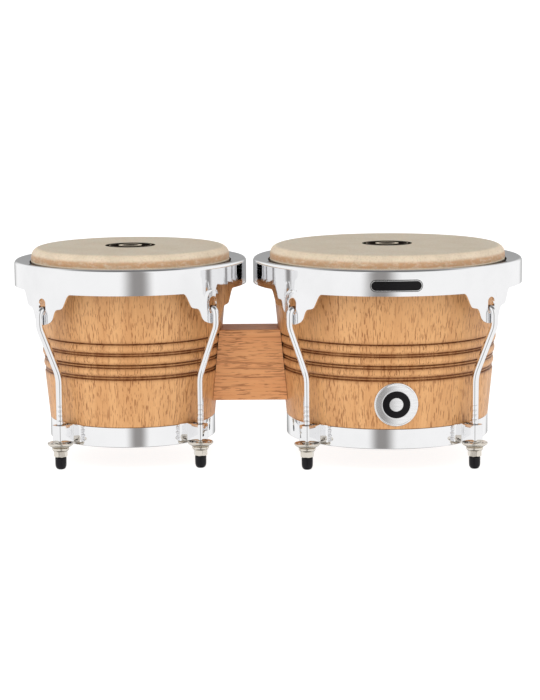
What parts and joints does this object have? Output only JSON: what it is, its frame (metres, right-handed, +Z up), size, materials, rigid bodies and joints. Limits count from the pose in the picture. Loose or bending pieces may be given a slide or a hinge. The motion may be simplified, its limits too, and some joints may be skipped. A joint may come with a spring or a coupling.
{
  "type": "bongo drums",
  "caption": "Pair of tapered wooden hand drums of two sizes, joined by a wood block, with skin heads under chrome tension rims that hooked rods and nuts pull down to tune them.",
  "frame": {"origin": "on the floor plane that the rubber tips stand on, under the middle of the overall box", "axes": "+X from the small drum to the large drum, -Y towards the player and viewer, +Z up"},
  "size_m": [0.4344, 0.231, 0.183],
  "materials": {
    "shell_wood": "satin lacquer",
    "block_wood": "satin lacquer",
    "head_skin": "matt, fibrous",
    "chrome": "mirror polished",
    "nickel": "nickel plated",
    "zinc_steel": "zinc plated",
    "rubber": "matt",
    "badge_metal": "brushed",
    "dark_plate": "satin"
  },
  "bodies": {
    "shells": {"centre_block": "block_wood", "shell_badge": "badge_metal", "small_shell": "shell_wood", "small_head": "head_skin", "small_bottom_ring": "chrome", "small_backing_plate": "zinc_steel", "small_bolt_lower": "zinc_steel", "small_bolt_upper": "zinc_steel", "small_bracket_front_left": "chrome", "small_washer_front_left": "nickel", "small_bracket_front_right": "chrome", "small_washer_front_right": "nickel", "small_bracket_rear_right": "chrome", "small_washer_rear_right": "nickel", "small_bracket_rear_left": "chrome", "small_washer_rear_left": "nickel", "large_shell": "shell_wood", "large_head": "head_skin", "large_bottom_ring": "chrome", "large_backing_plate": "zinc_steel", "large_bolt_lower": "zinc_steel", "large_bolt_upper": "zinc_steel", "large_bracket_front_left": "chrome", "large_washer_front_left": "nickel", "large_bracket_front_right": "chrome", "large_washer_front_right": "nickel", "large_bracket_rear_right": "chrome", "large_washer_rear_right": "nickel", "large_bracket_rear_left": "chrome", "large_washer_rear_left": "nickel"},
    "small_rim_set": {"small_tension_rim": "chrome", "small_flesh_hoop": "zinc_steel", "small_hook_front_left": "chrome", "small_tip_front_left": "rubber", "small_hook_front_right": "chrome", "small_tip_front_right": "rubber", "small_hook_rear_right": "chrome", "small_tip_rear_right": "rubber", "small_hook_rear_left": "chrome", "small_tip_rear_left": "rubber"},
    "small_nut_front_left": {"small_nut_front_left": "nickel"},
    "small_nut_front_right": {"small_nut_front_right": "nickel"},
    "small_nut_rear_right": {"small_nut_rear_right": "nickel"},
    "small_nut_rear_left": {"small_nut_rear_left": "nickel"},
    "large_rim_set": {"large_tension_rim": "chrome", "large_flesh_hoop": "zinc_steel", "rim_plate": "dark_plate", "large_hook_front_left": "chrome", "large_tip_front_left": "rubber", "large_hook_front_right": "chrome", "large_tip_front_right": "rubber", "large_hook_rear_right": "chrome", "large_tip_rear_right": "rubber", "large_hook_rear_left": "chrome", "large_tip_rear_left": "rubber"},
    "large_nut_front_left": {"large_nut_front_left": "nickel"},
    "large_nut_front_right": {"large_nut_front_right": "nickel"},
    "large_nut_rear_right": {"large_nut_rear_right": "nickel"},
    "large_nut_rear_left": {"large_nut_rear_left": "nickel"}
  },
  "joints": [
    {"name": "small_nut_front_left_turn", "type": "hinge", "parent": "shells", "child": "small_nut_front_left", "pos_m": [-0.17581, -0.05987, 0], "axis": [0, 0, 1], "range_deg": [0, 2160]},
    {"name": "small_nut_front_right_turn", "type": "hinge", "parent": "shells", "child": "small_nut_front_right", "pos_m": [-0.05813, -0.05781, 0], "axis": [0, 0, 1], "range_deg": [0, 2160]},
    {"name": "small_nut_rear_right_turn", "type": "hinge", "parent": "shells", "child": "small_nut_rear_right", "pos_m": [-0.06019, 0.05987, 0], "axis": [0, 0, 1], "range_deg": [0, 2160]},
    {"name": "small_nut_rear_left_turn", "type": "hinge", "parent": "shells", "child": "small_nut_rear_left", "pos_m": [-0.17787, 0.05781, 0], "axis": [0, 0, 1], "range_deg": [0, 2160]},
    {"name": "small_tuning", "type": "slide", "parent": "shells", "child": "small_rim_set", "axis": [0, 0, -1], "range_m": [0, 0.006], "deforming": ["small_head"]},
    {"name": "large_nut_front_left_turn", "type": "hinge", "parent": "shells", "child": "large_nut_front_left", "pos_m": [0.03144, -0.06946, 0], "axis": [0, 0, 1], "range_deg": [0, 2160]},
    {"name": "large_nut_front_right_turn", "type": "hinge", "parent": "shells", "child": "large_nut_front_right", "pos_m": [0.17158, -0.07068, 0], "axis": [0, 0, 1], "range_deg": [0, 2160]},
    {"name": "large_nut_rear_right_turn", "type": "hinge", "parent": "shells", "child": "large_nut_rear_right", "pos_m": [0.17281, 0.06946, 0], "axis": [0, 0, 1], "range_deg": [0, 2160]},
    {"name": "large_nut_rear_left_turn", "type": "hinge", "parent": "shells", "child": "large_nut_rear_left", "pos_m": [0.03266, 0.07068, 0], "axis": [0, 0, 1], "range_deg": [0, 2160]},
    {"name": "large_tuning", "type": "slide", "parent": "shells", "child": "large_rim_set", "axis": [0, 0, -1], "range_m": [0, 0.006], "deforming": ["large_head"]}
  ],
  "couplings": [
    {"joint": "small_nut_front_left_turn", "follows": "small_tuning", "rad_per_m": 6283.2},
    {"joint": "small_nut_front_right_turn", "follows": "small_tuning", "rad_per_m": 6283.2},
    {"joint": "small_nut_rear_right_turn", "follows": "small_tuning", "rad_per_m": 6283.2},
    {"joint": "small_nut_rear_left_turn", "follows": "small_tuning", "rad_per_m": 6283.2},
    {"joint": "large_nut_front_left_turn", "follows": "large_tuning", "rad_per_m": 6283.2},
    {"joint": "large_nut_front_right_turn", "follows": "large_tuning", "rad_per_m": 6283.2},
    {"joint": "large_nut_rear_right_turn", "follows": "large_tuning", "rad_per_m": 6283.2},
    {"joint": "large_nut_rear_left_turn", "follows": "large_tuning", "rad_per_m": 6283.2}
  ]
}
